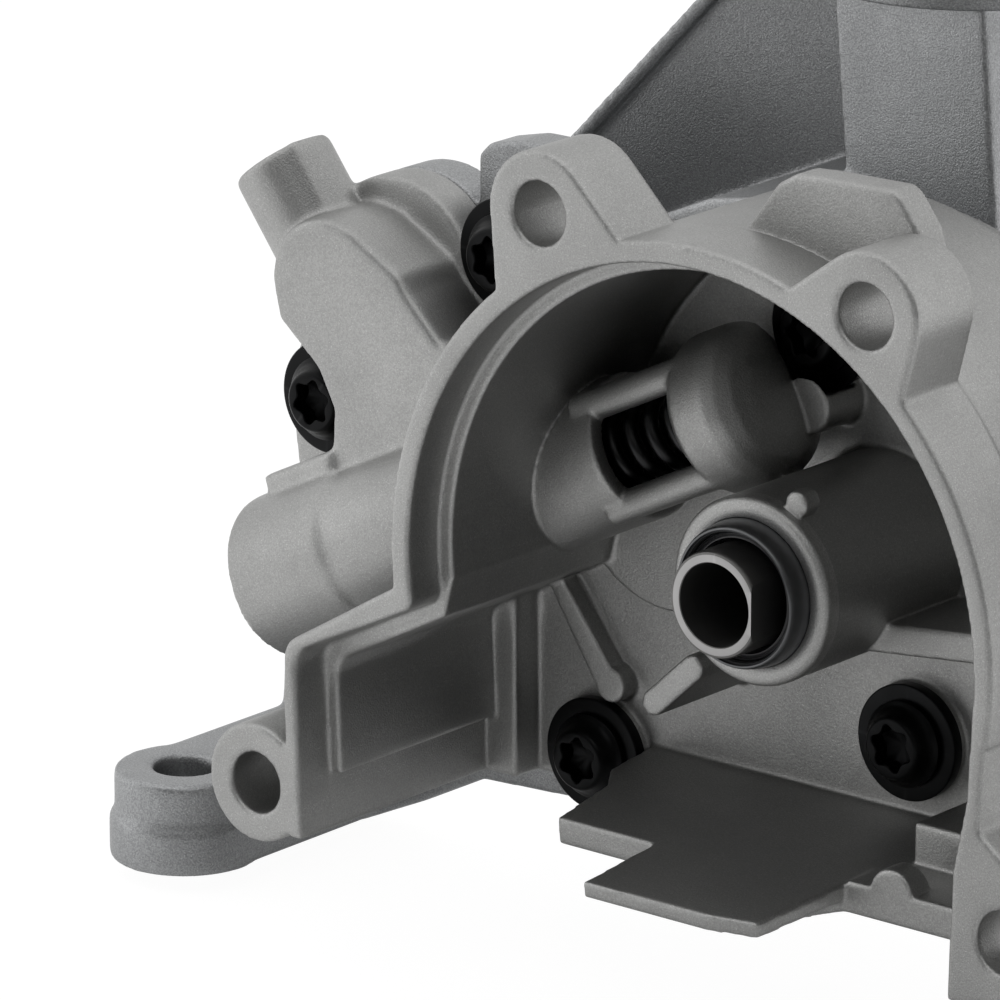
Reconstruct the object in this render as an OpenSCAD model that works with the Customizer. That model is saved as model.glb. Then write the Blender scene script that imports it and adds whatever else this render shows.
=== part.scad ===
// Engine oil pump: a cast front housing and a cast rear housing around two spur gears.
// X runs to the right, Y runs back along the drive shaft and Z runs up.
// The origin is on the shaft's axis, in the mounting face of the front housing.

/* [Mounting face] */
// Inner radius of the arch that opens to the front
arch_r = 48.8; // [47.6:0.2:49.6]
// Width of the arch's thin rim
rim_w = 2.7; // [2.2:0.1:3.4]
// Depth of the step inside the rim
rebate_depth = 6.7; // [5:0.1:8]
// Height of the step inside the rim
rebate_step = 2.3; // [1.5:0.1:2.8]
// Thickness of the bolting ears
ear_t = 12.6; // [10:0.2:14]
// Outer radius of the bolting ears
ear_r = 8.8; // [8:0.1:9.4]
// Clearance holes in the bolting ears
ear_hole_d = 9; // [7:0.1:10]

/* [Front housing] */
// From the mounting face to the front of the back wall
wall_y = 45; // [44:0.5:47]
// Thickness of the back wall
wall_t = 7; // [6:0.5:9]
// Outer radius of the shaft boss
boss_r = 13.4; // [13:0.1:14]
// From the mounting face to the end of the shaft boss
boss_y = 15; // [13:0.5:17]
// Thickness of the floor plate
floor_t = 4.2; // [3:0.1:4.6]
// Thickness of the floor plate's tongue
tongue_t = 2.4; // [2:0.1:3]
// Height of the floor plate's top under the shaft's axis
floor_drop = 41; // [40.4:0.2:42]

/* [Gears] */
// Number of teeth on each gear
teeth = 11; // [11:1:11]
// Gear module
gear_module = 3.4; // [3.3:0.05:3.45]
// Pressure angle of the teeth
pressure_angle = 26; // [25:0.5:27]
// Width of the gears
gear_w = 24; // [20:0.5:26]
// Play between the teeth
backlash = 0.24; // [0.15:0.01:0.4]
// Play between the tooth tips and the housing
tip_gap = 0.1; // [0.08:0.01:0.15]
// Play at each side of the gears
side_gap = 0.06; // [0.04:0.01:0.1]

/* [Drive shaft] */
// Diameter of the shaft's journals
journal_d = 16.6; // [16.2:0.1:17]
// Diameter of the stub at the front
stub_d = 15.2; // [14.6:0.1:15.6]
// Bore through the shaft
shaft_bore_d = 11.8; // [10:0.1:12]
// From the mounting face to the shaft's front end
shaft_y = 7; // [5:0.5:9]
// Depth of the driving flat on the stub
flat_depth = 1.9; // [1:0.1:2]
// Radial running clearance in the bushes
run_gap = 0.03; // [0.02:0.01:0.05]
// Wall of the shaft bushes
bush_wall = 2.3; // [2:0.1:2.6]
// Diameter of the idler's pin
pin_d = 12; // [11:0.1:13]

/* [Relief valve] */
// Slope of the valve's axis
valve_angle = 26; // [25:0.5:27]
// From the mounting face to the valve's axis
valve_y = 35; // [34:0.5:36]
// Diameter of the valve's bore
valve_bore_d = 16; // [15.4:0.1:16.4]
// Diameter of the valve tube outside the chamber
valve_tube_d = 25; // [24:0.2:26]
// Diameter of the valve tube inside the chamber
inner_tube_d = 21.5; // [20.8:0.1:22]
// Diameter of the collar beside the window
collar_d = 23.6; // [22.6:0.2:25]
// Length of the window
window_l = 15; // [13:0.2:16]
// Height of the window
window_h = 10.2; // [9:0.2:10.6]
// Length of the piston
piston_l = 20; // [18:0.5:22]
// Wall of the piston
piston_wall = 1.3; // [1:0.1:1.4]
// Travel of the piston
piston_travel = 7; // [5:0.5:8]
// Wire of the relief spring
wire_d = 2.2; // [1.8:0.1:2.3]
// Turns of the relief spring
spring_turns = 14; // [11:1:15]

/* [Rear housing] */
// Wall around the gears
case_wall = 6.4; // [5.5:0.1:7]
// Thickness of the end wall behind the gears
end_wall = 15; // [14:0.5:18]
// Radius of the neck's top flange
neck_flange_r = 24; // [22:0.5:25]
// Height of the neck's top over the shaft's axis
neck_top = 78; // [76:0.5:80]
// Bore of the neck
neck_bore_d = 18; // [16:0.5:19]

/* [Screws] */
// Shank diameter of the housing screws
screw_d = 8; // [7:0.1:8.4]
// Radial clearance round the shanks in the front housing
screw_gap = 0.4; // [0.3:0.05:0.6]
// Length of thread in the rear housing
screw_grip = 12; // [11:0.5:14]
// Outer diameter of the screws' washers
washer_d = 17; // [16:0.1:17.6]
// Thickness of the screws' washers
washer_t = 2; // [1.6:0.1:2.4]
// Outer diameter of the locating sleeves
sleeve_d = 12; // [11.4:0.1:12.4]

/* [Lug] */
// Height of the lug
lug_h = 14; // [12:0.2:15]
// Outer radius of the lug
lug_r = 10.6; // [10:0.1:11]
// Hole through the lug
lug_hole_d = 9.4; // [8:0.1:10]

/* [Hidden] */
$fn = 64;
eps = 0.01;

cast_grey = [0.60, 0.60, 0.59];
steel_dark = [0.20, 0.21, 0.22];
black_steel = [0.07, 0.07, 0.08];
spring_black = [0.09, 0.09, 0.10];
bronze = [0.52, 0.43, 0.30];
rubber = [0.05, 0.05, 0.05];

// Planes along the shaft
part_y = wall_y + wall_t;
gear_y = part_y + side_gap;
case_y = part_y + gear_w + 2 * side_gap;
back_y = case_y + end_wall;

// Ears of the mounting face
rim_r = arch_r + rim_w;
flange_r = rim_r + 0.5;
wall_drop = 1.2;
ear_1 = on_circle(rim_r + 6.42, 115.9);
ear_2 = on_circle(rim_r + 4.7, 57.5);

// The chamber's left pocket: its shoulder slopes like the valve
pocket_x = -arch_r - 21.2;
pocket_foot_x = pocket_x + 1.3;
pocket_z = -19;
shoulder_x = -arch_r - 0.2;
shoulder_z = -8;
foot_z = -47.3;
pad_foot_z = -38.5;
right_foot_x = arch_r - 3.8;
right_foot_z = -44.4;
pocket_wall = 2.6;
ear_3 = [pocket_x - 7.6, -40.5];
ear_4 = [right_foot_x + 9.7, -34.3];
floor_notch_y = 17.4;
floor_slope = 4.1;

// Gears
centre_distance = gear_module * teeth;
pitch_r = centre_distance / 2;
tip_r = pitch_r + 0.9 * gear_module;
root_r = pitch_r - 1.12 * gear_module;
base_r = pitch_r * cos(pressure_angle);
cavity_r = tip_r + tip_gap;
idler_x = -centre_distance;
gallery_mid_r = cavity_r + 5.8;
gallery_depth = 5;

// Fin of the shaft boss
fin_angle = 223;
fin_l = 36;
fin_step = 24;
fin_t = 3.8;
fin_y = 26;
web_y = 30;

// Shaft
journal_r = journal_d / 2;
bush_r = journal_r + run_gap + bush_wall;
stub_l = 10;
shaft_end_y = back_y - 5;
seal_w = 5;
idler_bush_r = pin_d / 2 + run_gap + 1.6;
idler_pocket = 5;
pin_end_y = case_y + 9;

// Relief valve: positions are measured along its axis from the window's middle
window_x = -28.9;
window_z = 13;
tube_end = -81.4;
tube_step = -61.8;
window_start = -6.6;
window_end = window_start + window_l;
bore_end = window_end + 6;
collar_end = window_end + 10.4;
valve_bore_r = valve_bore_d / 2;
bar_r = 2.3;
piston_r = valve_bore_r - run_gap;
piston_start = -46;
piston_floor = 3;
spring_r = piston_r - piston_wall - 0.25;
spring_foot = piston_start + piston_floor;
spring_l = bore_end - spring_foot;
ring_at = tube_end + 3;
ring_w = 1.2;
plug_start = ring_at + ring_w;
plug_l = 14;
gallery_r = 3.2;
gallery_at = [-74, -9];
port_at = [-92.4, 16.6];
port_r = 5.6;
port_l = 27.2;
stub_r = 7.6;
port_lean = 37;

// Screws: the first three are in the chamber, two are on the left and two on the right
right_screw_x = rim_r + 10.5;
screws = concat(
    [[pocket_foot_x + 18.1, -41.5], [6, -27.6], [-10, 29.5]],
    [[-101.2, 3], [-67, 30.4]],
    [[right_screw_x, 17], [right_screw_x, -17]]
);
screw_boss_r = 9.4;
screw_head_h = 3.6;
screw_head_r = screw_d / 2 + 2.3;
screw_hole_r = screw_d / 2 + screw_gap;
sleeve_at = [screws[3], screws[5]];
sleeve_depth = 5;

// Neck and lug
neck_x = [-27.5, -1];
neck_y = [72, 100];
neck_lean = 5;
neck_mid = [-18, 88];
neck_flange_t = 7;
neck_bolt = 29;
neck_bolt_r = 3.4;
neck_back = [-14.5, 99];
neck_back_r = 9.5;
flange_t = 7;
neck_bore_at = [-17, 86];
neck_foot_z = 36;
suction_y = 83.5;
suction_r = 5.3;
lug_at = [-110, 21];
lug_top_z = -50;
plate_y = back_y - 11.6;
plate_t = 6;
plate_edge_x = -84;
plate_run = 0.23;
rib_t = 4.4;

// Shapes that repeat

// A point at a radius and an angle
function on_circle(r, a) = [r * cos(a), r * sin(a)];

// A prism along Y from y0 to y1 over an outline drawn in X and Z
module prism(y0, y1) {
    translate([0, y1, 0])
        rotate([90, 0, 0])
            linear_extrude(height = y1 - y0)
                children();
}

// A cylinder along Y from y0 to y1, at a place given in X and Z
module rod(at, r, y0, y1) {
    translate([at[0], y1, at[1]])
        rotate([90, 0, 0])
            cylinder(r = r, h = y1 - y0);
}

// A turned shape along Y, drawn as radius and distance
module turned(at = [0, 0]) {
    translate([at[0], 0, at[1]])
        rotate([-90, 0, 0])
            rotate_extrude()
                children();
}

// Moves a shape that is turned round Z so that Z runs along the valve's axis
module on_valve(u = 0) {
    translate([window_x, valve_y, window_z])
        rotate([0, 90 - valve_angle, 0])
            translate([0, 0, u])
                children();
}

// A cylinder on the valve's axis from u0 to u1
module valve_rod(r, u0, u1) {
    on_valve(u0)
        cylinder(r = r, h = u1 - u0);
}

// Outline of the chamber, drawn in by a distance
module chamber(inset, left_inset) {
    circle(r = arch_r - inset, $fn = 128);
    polygon([
        [0, 0],
        [-shoulder_depth(inset) - 0.25, shoulder_z + inset],
        [shoulder_x + inset * 0.5, shoulder_z - 1 - inset],
        [pocket_x + 1 + left_inset, pocket_z - inset],
        [pocket_x + left_inset, pocket_z - 2 - inset],
        [pocket_foot_x + left_inset, foot_z - 7],
        [0, foot_z - 7],
    ]);
    polygon([
        [0, 0],
        [arch_r - inset, 0],
        [arch_r - inset - 0.8, -16],
        [right_foot_x + 1 - inset, -26],
        [right_foot_x - inset, foot_z - 7],
        [0, foot_z - 7],
    ]);
}

function shoulder_depth(inset) = sqrt(pow(arch_r - inset, 2) - pow(shoulder_z + inset, 2));

// Outside of the chamber's walls
module chamber_wall() {
    difference() {
        circle(r = rim_r, $fn = 128);
        translate([-rim_r, foot_z - rim_r])
            square([2 * rim_r, rim_r]);
    }
    polygon([
        [0, 0],
        [-rim_r, 0],
        [-rim_r, shoulder_z + 1.9],
        [pocket_x - pocket_wall + 1, pocket_z + 1],
        [pocket_x - pocket_wall, pocket_z - 1],
        [pocket_foot_x - pocket_wall, foot_z],
        [0, foot_z],
    ]);
    polygon([
        [0, 4],
        [rim_r, 0],
        [rim_r - 1, -14],
        [right_foot_x + 4.4, ear_4[1]],
        [right_foot_x + 4.4, right_foot_z],
        [0, right_foot_z],
    ]);
}

// Outline of an ear with flanks that run into the arch
module ear_outline(at, left_foot, right_foot) {
    translate(at)
        circle(r = ear_r);
    polygon([at + ear_flank(at, left_foot, 1), left_foot, right_foot, at + ear_flank(at, right_foot, -1)]);
}

// The point where a line from a foot touches the ear's circle
function ear_flank(at, foot, side) =
    let (
        d = foot - at,
        l = norm(d),
        a = atan2(d[1], d[0]),
        t = acos(ear_r / l)
    )
    ear_r * [cos(a - side * t), sin(a - side * t)];

// Outline in which both castings meet, left part
module left_joint() {
    polygon([
        [-40, -36],
        [-40, 34],
        [-60, 37],
        [-76, 30],
        [-78.6, 32.4],
        [-84.3, 36.5],
        [-89.5, 38],
        [-103.9, 24],
        [screws[3][0] - screw_boss_r, screws[3][1]],
        [-109, -9],
        [-109, -16],
        [-96, -34],
        [-72, foot_z],
        [screws[0][0], foot_z],
    ]);
    translate([-89.5, 23.5])
        circle(r = 14.5);
    for (i = [0, 3, 4])
        translate(screws[i])
            circle(r = i == 3 ? screw_boss_r : washer_d / 2 - 0.3);
}

// Outline in which both castings meet, right part
module right_joint() {
    polygon([
        [-44, 38],
        [-10, 42],
        [44, 38],
        [screws[5][0] + 3, screws[5][1] + screw_boss_r - 0.4],
        [screws[5][0] + screw_boss_r, screws[5][1]],
        [screws[6][0] + screw_boss_r, screws[6][1]],
        [screws[6][0] + 3, screws[6][1] - screw_boss_r + 0.4],
        [right_foot_x + 5, right_foot_z + 4],
        [right_foot_x + 2, right_foot_z],
        [-42, right_foot_z],
        [-50, foot_z],
        [-50, 0],
    ]);
    for (i = [5, 6])
        translate(screws[i])
            circle(r = screw_boss_r);
}

// Front housing

module arch_solid() {
    prism(0, wall_y + eps)
        chamber_wall();
    difference() {
        rod([0, 0], flange_r, 0, ear_t);
        translate([-2 * rim_r, -1, -2 * rim_r])
            cube([4 * rim_r, ear_t + 2, 2 * rim_r - 8]);
    }
    prism(0, ear_t)
        ear_outline(ear_1, on_circle(rim_r - 0.4, 130.2), on_circle(rim_r - 0.4, 102));
    prism(0, ear_t)
        ear_outline(ear_2, on_circle(rim_r - 0.4, 71.2), on_circle(rim_r - 2.1, 43.5));
    prism(0, ear_t)
        ear_outline(ear_3, [pocket_x - 1, -29], [pocket_x + 1.6, foot_z - 2]);
    prism(0, ear_t)
        ear_outline(ear_4, [right_foot_x + 3.6, -18.6], [right_foot_x + 0.4, right_foot_z]);
    // Raised pad behind the second ear
    prism(13, 18.4)
        polygon([
            [-4, rim_r - 5.5],
            [5.4, rim_r + 7.3],
            [8.4, rim_r + 9.1],
            [11.6, rim_r + 9.3],
            [24.6, rim_r + 9.5],
            [26, rim_r + 8.7],
            [29.2, rim_r + 4.5],
            [33, rim_r - 7.5],
            [20, rim_r - 11.5],
        ]);
}

module chamber_space() {
    prism(-1, rebate_depth)
        chamber(0, 0);
    difference() {
        prism(rebate_depth - eps, wall_y + wall_drop)
            chamber(rebate_step, rebate_step);
        // Step at the far end of the left wall
        prism(wall_y - 4, wall_y + wall_drop + eps)
            polygon([[pocket_x, 0], [pocket_x + 6.6, -18], [pocket_x + 6.9, foot_z - 8], [pocket_x, foot_z - 8]]);
    }
    // Plain strip under the raised pad of the left wall
    prism(rebate_depth - 1, wall_y - 4)
        polygon([
            [pocket_x + 1, pad_foot_z],
            [pocket_foot_x, foot_z - 7],
            [pocket_x + 12, foot_z - 7],
            [pocket_x + 12, pad_foot_z - 1.4],
        ]);
}

module floor_plate() {
    // It falls a little towards the front
    translate([0, floor_notch_y, -floor_drop])
        rotate([floor_slope, 0, 0])
            translate([0, -floor_notch_y, 0]) {
                translate([0, 0, -floor_t])
                    linear_extrude(height = floor_t)
                        polygon([
                            [-42, wall_y + 1],
                            [-41.4, 36],
                            [-38, 31],
                            [-36, floor_notch_y],
                            [-10, floor_notch_y],
                            [8, 13],
                            [13, 20.4],
                            [right_foot_x + 2, 21],
                            [right_foot_x + 2, wall_y + 1],
                        ]);
                translate([0, 0, -tongue_t])
                    linear_extrude(height = tongue_t)
                        polygon([
                            [-18.6, floor_notch_y + 1],
                            [-18, 1],
                            [3.4, 1.2],
                            [11.4, 2.6],
                            [13, 20.4],
                            [13, 24],
                            [-18.6, 24],
                        ]);
            }
    // Thicker right end with a half-round and a block on it
    translate([13, 20.4, right_foot_z - 0.6])
        cube([right_foot_x - 10, 7, floor_t + 0.6]);
    rod([20.6, -floor_drop + 0.4], 3.6, 20.4, 25);
    translate([16.4, 31.2, -floor_drop - 1])
        cube([right_foot_x - 14, wall_y - 30.2, 8.2]);
    // Rounded rise into the right wall
    translate([right_foot_x - 6, 21, -floor_drop - 1])
        rotate([0, -40, 0])
            cube([10, wall_y - 20, 4]);
}

module shaft_boss() {
    turned()
        polygon([[0, boss_y], [boss_r - 1.2, boss_y], [boss_r, boss_y + 1.2], [boss_r, wall_y + 2], [0, wall_y + 2]]);
    // Fin towards the lower left, with a higher round end
    prism(fin_y + 5, wall_y + 2)
        rotate(fin_angle)
            polygon([[6, -fin_t / 2 + 0.4], [fin_l, -fin_t / 2 + 0.4], [fin_l, fin_t / 2 - 0.4], [6, fin_t / 2 - 0.4]]);
    prism(fin_y, wall_y + 2)
        rotate(fin_angle)
            polygon([
                [fin_step, -fin_t / 4],
                [fin_step + 1.3, -fin_t / 2],
                [fin_l, -fin_t / 2],
                [fin_l + 1.3, -fin_t / 4],
                [fin_l + 1.3, fin_t / 4],
                [fin_l, fin_t / 2],
                [fin_step + 1.3, fin_t / 2],
                [fin_step, fin_t / 4],
            ]);
    // Web towards the right wall
    translate([4, web_y, -11])
        rotate([0, -6, 0])
            cube([42, wall_y - web_y + 1, 4.4]);
    // Cast pip on the boss
    rod([6.4, 13.3], 1.9, boss_y + 1.6, boss_y + 5);
}

module wall_details() {
    // Round pad of the idler's pin and a rib with its end pad
    rod([idler_x, 0], 17.2, wall_y - 1.4, wall_y + 2);
    rod([-47.3, -30.2], 2.7, wall_y - 2.2, wall_y + 2);
    prism(wall_y - 2.2, wall_y + 2)
        polygon([[-60.4, -14.6], [-58, -13.2], [-46.4, -28.4], [-49.4, -31.6]]);
    // Seats of the screws in the chamber
    for (i = [0:2])
        rod(screws[i], washer_d / 2 - 0.3, wall_y, wall_y + 2);
}

// Side part that carries the oil port
module side_lobe() {
    prism(wall_y - 13, wall_y + 1) {
        translate([-92.2, 23.7])
            circle(r = 10);
        polygon([
            [-102.2, 23],
            [-101, 17.4],
            [-93.6, 11.2],
            [-90.6, 5.6],
            [-90.8, -1],
            [-95, -7],
            [-70, -9],
            [-44, 6],
            [-40, 32],
            [-62, 22],
            [-70, 18.7],
            [-76.7, 25.3],
            [-78.4, 27.8],
            [-88, 33.2],
        ]);
    }
    // Stub of the oil port, up and to the left
    translate([port_at[0], wall_y - 3, port_at[1]])
        rotate([0, -port_lean, 0]) {
            cylinder(r = stub_r, h = port_l);
            linear_extrude(height = port_l)
                polygon([[-1, -stub_r + 0.1], [stub_r - 0.4, -4.4], [stub_r - 0.1, 1], [0, 2]]);
        }
}

module valve_solid() {
    valve_rod(valve_tube_d / 2, tube_end, tube_step);
    valve_rod(valve_tube_d / 2 - 0.6, tube_step - 1, -30);
    valve_rod(inner_tube_d / 2, -34, window_start);
    // Back wall of the window
    difference() {
        valve_rod(valve_bore_r + 1, window_start - 1, window_end + 1);
        on_valve(window_start)
            translate([-valve_tube_d / 2, -valve_tube_d, -eps])
                cube([valve_tube_d, valve_tube_d + 1.5, window_l + 2 * eps]);
    }
    // Rib from the collar's closed end to the back wall
    rod([-8.6, 19.8], 4.2, wall_y - 7, wall_y + 2);
    on_valve(window_end)
        rotate_extrude()
            polygon([
                [0, 0],
                [collar_d / 2 - 1.4, 0],
                [collar_d / 2, 1.6],
                [collar_d / 2, collar_end - window_end - 3],
                [collar_d / 2 - 0.8, collar_end - window_end - 1],
                [collar_d / 2 - 2.8, collar_end - window_end + 0.6],
                [collar_d / 2 - 6, collar_end - window_end + 1.6],
                [0, collar_end - window_end + 2],
            ]);
    // Bars over and under the window
    for (side = [-1, 1])
        on_valve(window_start - 4)
            translate([side * (window_h / 2 + bar_r), -6.2, 0])
                cylinder(r = bar_r, h = window_l + 6);
    // Block on the tube's outer end
    on_valve(tube_end + 5.4)
        translate([-valve_tube_d / 2 - 2.4, -4, 0])
            cube([valve_tube_d / 2, 12, 14.6]);
}

module valve_space() {
    valve_rod(valve_bore_r, tube_end - 1, bore_end);
    // Spill hole into the chamber's pocket
    on_valve(piston_start + 5)
        rotate([0, 90, 0])
            cylinder(r = 2.6, h = valve_tube_d / 2 + 1);
    // Groove of the snap ring
    valve_rod(valve_bore_r + 0.9, ring_at, ring_at + ring_w);
    // Window
    on_valve(window_start)
        translate([-window_h / 2, -valve_tube_d, 0])
            cube([window_h, valve_tube_d - 1, window_l]);
}

module front_housing() {
    color(cast_grey)
        difference() {
            union() {
                difference() {
                    union() {
                        arch_solid();
                        side_lobe();
                        prism(wall_y, part_y) {
                            left_joint();
                            right_joint();
                            difference() {
                                circle(r = rim_r - 3.2, $fn = 128);
                                translate([-rim_r, right_foot_z - rim_r])
                                    square([2 * rim_r, rim_r]);
                            }
                        }
                    }
                    chamber_space();
                }
                floor_plate();
                shaft_boss();
                wall_details();
                difference() {
                    valve_solid();
                    // Room for the head and the washer of the third screw
                    rod(screws[2], washer_d / 2 + 0.5, wall_y - washer_t - screw_head_h - 1, wall_y);
                }
            }
            valve_space();
            // Ear holes
            for (ear = [ear_1, ear_2, ear_3, ear_4])
                rod(ear, ear_hole_d / 2, -1, ear_t + 12);
            // Bores on the shaft's axis
            rod([0, 0], bush_r, boss_y - 1, part_y + 1);
            rod([idler_x, 0], pin_d / 2, part_y - idler_pocket, part_y + 1);
            for (screw = screws)
                rod(screw, screw_hole_r, wall_y - 14, part_y + 1);
            for (at = sleeve_at)
                rod(at, sleeve_d / 2, part_y - sleeve_depth, part_y + 1);
            // Oil port and the gallery from it to the valve
            translate([port_at[0], wall_y - 3, port_at[1]])
                rotate([0, -port_lean, 0]) {
                    translate([0, 0, 10])
                        cylinder(r = port_r, h = port_l);
                    translate([0, -5, -28])
                        cylinder(r = gallery_r, h = 40);
                }
            rod(gallery_at, gallery_r, valve_y, part_y + 1);
        }
}

// Rear housing

// Rib on the back of the joint flange, from one place to another, with its height at both ends
module rib(from, to, from_h, to_h) {
    way = to - from;
    translate([from[0], 0, from[1]])
        rotate([0, -atan2(way[1], way[0]), 0])
            translate([0, 0, -rib_t / 2])
                linear_extrude(height = rib_t)
                    polygon([
                        [0, part_y + 1],
                        [0, part_y + from_h],
                        [norm(way), part_y + to_h],
                        [norm(way), part_y + 1],
                    ]);
}

module neck_solid() {
    neck_l = neck_top - neck_foot_z + 12;
    translate([0, 0, neck_foot_z])
        rotate([0, -neck_lean, 0]) {
            translate([neck_x[0], neck_y[0], -14])
                cube([neck_x[1] - neck_x[0], neck_y[1] - neck_y[0], neck_l]);
            translate([neck_back[0], neck_back[1], -14])
                cylinder(r = neck_back_r, h = neck_l);
        }
    // Two-bolt flange on top
    translate([0, 0, neck_top - neck_flange_t])
        linear_extrude(height = neck_flange_t) {
            translate(neck_mid)
                circle(r = neck_flange_r);
            for (side = [-1, 1])
                translate([neck_mid[0] + side * neck_bolt, neck_mid[1]]) {
                    circle(r = 8);
                    polygon([[0, 8], [-side * 22, 21], [-side * 22, -21], [0, -8]]);
                }
        }
}

// A slab that runs back towards the neck, from its front face at the free edge, seen from above
module slanted(front, back) {
    linear_extrude(height = neck_top)
        polygon([
            [-100, front + plate_run * (-100 - plate_edge_x)],
            [neck_x[0] + 4, front + plate_run * (neck_x[0] + 4 - plate_edge_x)],
            [neck_x[0] + 4, back + plate_run * (neck_x[0] + 4 - plate_edge_x)],
            [-100, back + plate_run * (-100 - plate_edge_x)],
        ]);
}

// Plate from the gear case up to the neck, with a rim along its sloping edge
module neck_plate() {
    intersection() {
        slanted(plate_y, plate_y + plate_t);
        prism(part_y, 2 * back_y)
            polygon([[-94, 27.1], [-53.2, neck_top - 4], [neck_x[0] + 4, neck_top - 4], [-10, 20], [-60, 10]]);
    }
    intersection() {
        slanted(plate_y - 1.5, plate_y + 1);
        prism(part_y, 2 * back_y)
            polygon([[-94, 27.1], [-53.2, neck_top - 4], [-50.4, neck_top - 4], [-91.2, 27.1]]);
    }
    // Foot of the plate, which also covers the suction passage
    prism(part_y, back_y + 2)
        polygon([
            [-62, 20],
            [-56, 33.7],
            [-37, 42],
            [-28, 43.6],
            [-22, 42.6],
            [-12, 37],
            [0, 28.2],
            [0, 10],
            [-60, 10],
        ]);
    prism(part_y, plate_y + plate_t)
        polygon([[-76, 24.6], [-67, 28.9], [-50, 36.3], [-56, 10], [-62, 10]]);
    // Post and rib behind the plate's free corner
    rod([-84, 30], 5, part_y, plate_y + plate_t - 1.5);
    prism(plate_y - 6, plate_y + plate_t - 1.5)
        polygon([[-91, 27.1], [-86, 32], [-62, 20], [-60, 10]]);
}

// End wall: bosses behind the shaft and the pin, joined by a raised band
module end_cover() {
    prism(back_y - 1, back_y + 1.6)
        polygon([[0, 17], [idler_x, 14], [idler_x, -14], [0, -17]]);
    turned()
        polygon([
            [0, back_y - 1],
            [19.4, back_y - 1],
            [19.4, back_y + 2.6],
            [18, back_y + 4],
            [12.6, back_y + 4],
            [11.8, back_y + 2.6],
            [0, back_y + 2.6],
        ]);
    turned([idler_x, 0])
        polygon([[0, back_y - 1], [15.4, back_y - 1], [15.4, back_y + 1.8], [14.2, back_y + 3], [0, back_y + 3]]);
}

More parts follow.
